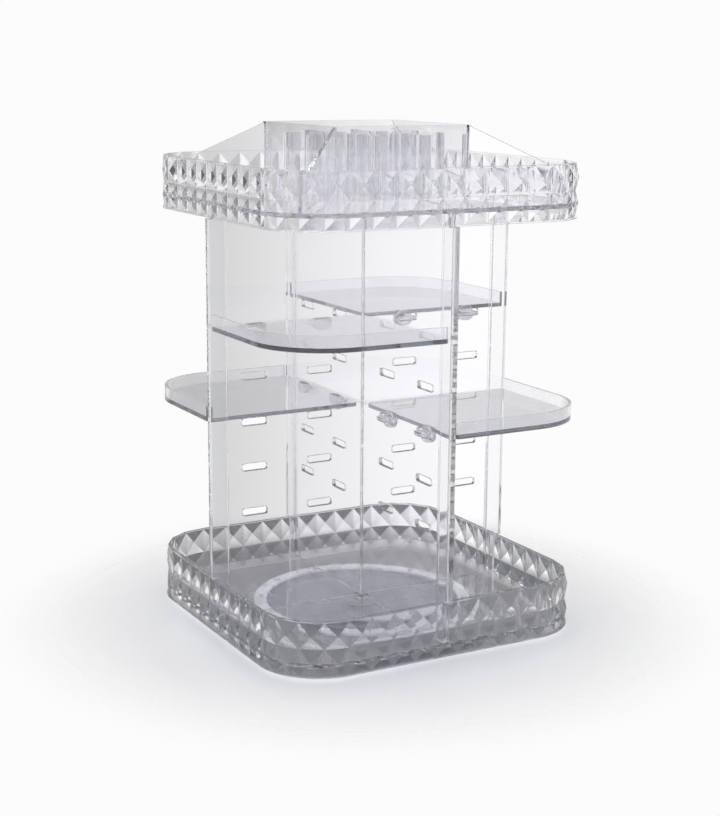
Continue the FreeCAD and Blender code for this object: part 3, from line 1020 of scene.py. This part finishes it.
def along(axis):
    """Return the share of the direction along an axis."""
    return add("ShaderNodeVectorMath", {"operation": "DOT_PRODUCT"}, direction, axis).outputs["Value"]


def slope(value, limits, low, high):
    """Return a tone that runs softly from low to high between two limits."""
    step = add("ShaderNodeMapRange", {"interpolation_type": "SMOOTHSTEP"}, value, *limits, low, high)
    return step.outputs[0]


def combine(operation, first, second):
    """Return the result of a sum on two values."""
    return add("ShaderNodeMath", {"operation": operation}, first, second).outputs[0]


direction = add("ShaderNodeTexCoord").outputs["Generated"]
view = (camera_aim - camera_place).to_2d().normalized()
toward_right = along((view.y, -view.x, 0.0))
toward_back = along((view.x, view.y, 0.0))
upward = add("ShaderNodeSeparateXYZ", None, direction).outputs["Z"]
aside = add("ShaderNodeMath", {"operation": "ABSOLUTE"}, toward_right).outputs[0]

level = combine("MULTIPLY", slope(toward_back, backdrop_front, 0.0, 1.0),
                slope(aside, backdrop_sides, 1.0, 0.0))
upright = combine("MULTIPLY", slope(upward, backdrop_top, 1.0, 0.0), slope(upward, backdrop_foot, 0.0, 1.0))
backdrop = combine("MULTIPLY", level, upright)
backdrop_tone = slope(toward_right, grey_limits, grey_left, bright_right)
print("backdrop behind the object, along", [round(part, 2) for part in view])

# %% [markdown]
# ## Studio room
# The object is looked at from all sides, so the room round it is bright and even at eye level. It
# is darker overhead and below, and tall soft boxes stand on both sides. Facets need something
# dark to show as well: six black cards stand just above the horizon, where only bent rays and very
# low views meet them. The camera itself sees a plain white room.

# %% Room
camera_white = 0.97
side_limits = (0.64, 0.76)
side_tone, side_box_tone, side_top_tone = 0.85, 1.1, 0.36
side_box_top = (0.35, 0.5)
side_box_foot = (-0.11, 0.03)
front_tone, front_top_tone = 0.9, 0.38
front_top = (-0.02, 0.1)
dark_cards = ((-142, -127), (-112, -97), (-67, -49), (38, 53), (68, 83), (112, 143))
card_fade = 3
card_tone = 0.03
card_foot, card_top = (-0.11, -0.07), (0.02, 0.06)
below_tone, below_edge_tone = 0.4, 0.22
below_limits = (-0.65, -0.5)
room_foot = (-0.4, -0.32)


def mixed(share, first, second):
    """Return a tone between two by a share."""
    return add("ShaderNodeMix", None, share, A=first, B=second).outputs[0]


side_room = slope(upward, side_box_foot, side_tone, slope(upward, side_box_top, side_box_tone, side_top_tone))
front_room = slope(upward, front_top, front_tone, front_top_tone)
sides = mixed(slope(aside, side_limits, 0.0, 1.0), front_room, side_room)
bearing = combine("ARCTAN2", toward_right, toward_back)
cards = 0.0
for left, right in dark_cards:
    left_limits = (math.radians(left), math.radians(left + card_fade))
    right_limits = (math.radians(right - card_fade), math.radians(right))
    card = combine("MULTIPLY", slope(bearing, left_limits, 0.0, 1.0), slope(bearing, right_limits, 1.0, 0.0))
    cards = combine("ADD", cards, card)
card_band = slope(upward, card_foot, side_tone, slope(upward, card_top, card_tone, sides))
below = slope(upward, below_limits, below_tone, below_edge_tone)
room = slope(upward, room_foot, below, mixed(cards, sides, card_band))
studio = mixed(backdrop, room, backdrop_tone)
strength = mixed(add("ShaderNodeLightPath").outputs["Is Camera Ray"], studio, camera_white)
background = add("ShaderNodeBackground", None, (1.0, 1.0, 1.0, 1.0), strength)
add("ShaderNodeOutputWorld", None, background.outputs[0])
print("room: bright on all sides, with", len(dark_cards), "dark cards")

# %% [markdown]
# ## Light
# One large soft box overhead adds to the studio. It draws the bright top edges and the soft shadow.
# Light goes through many clear walls before it reaches the camera and is caught inside them, so
# the limits on bounces are high: with low ones, edges and facets would turn black.

# %% Light
lamp_place, lamp_aim = Vector((0.1, 0.3, 2.0)), Vector((0, 0, 0.15))
lamp_size = 1.6
lamp_power = 26.0

lamp = bpy.data.lights.new("overhead_box", "AREA")
lamp.shape = "SQUARE"
lamp.size = lamp_size
lamp.energy = lamp_power
light = bpy.data.objects.new("overhead_box", lamp)
scene.collection.objects.link(light)
light.location = lamp_place
light.visible_camera = False
light.rotation_euler = (lamp_aim - lamp_place).to_track_quat("-Z", "Y").to_euler()

scene.view_settings.view_transform = "Standard"
scene.cycles.max_bounces = 128
scene.cycles.transmission_bounces = 64
scene.cycles.glossy_bounces = 128
scene.cycles.transparent_max_bounces = 64
print("light:", light.name, lamp_power, "W")
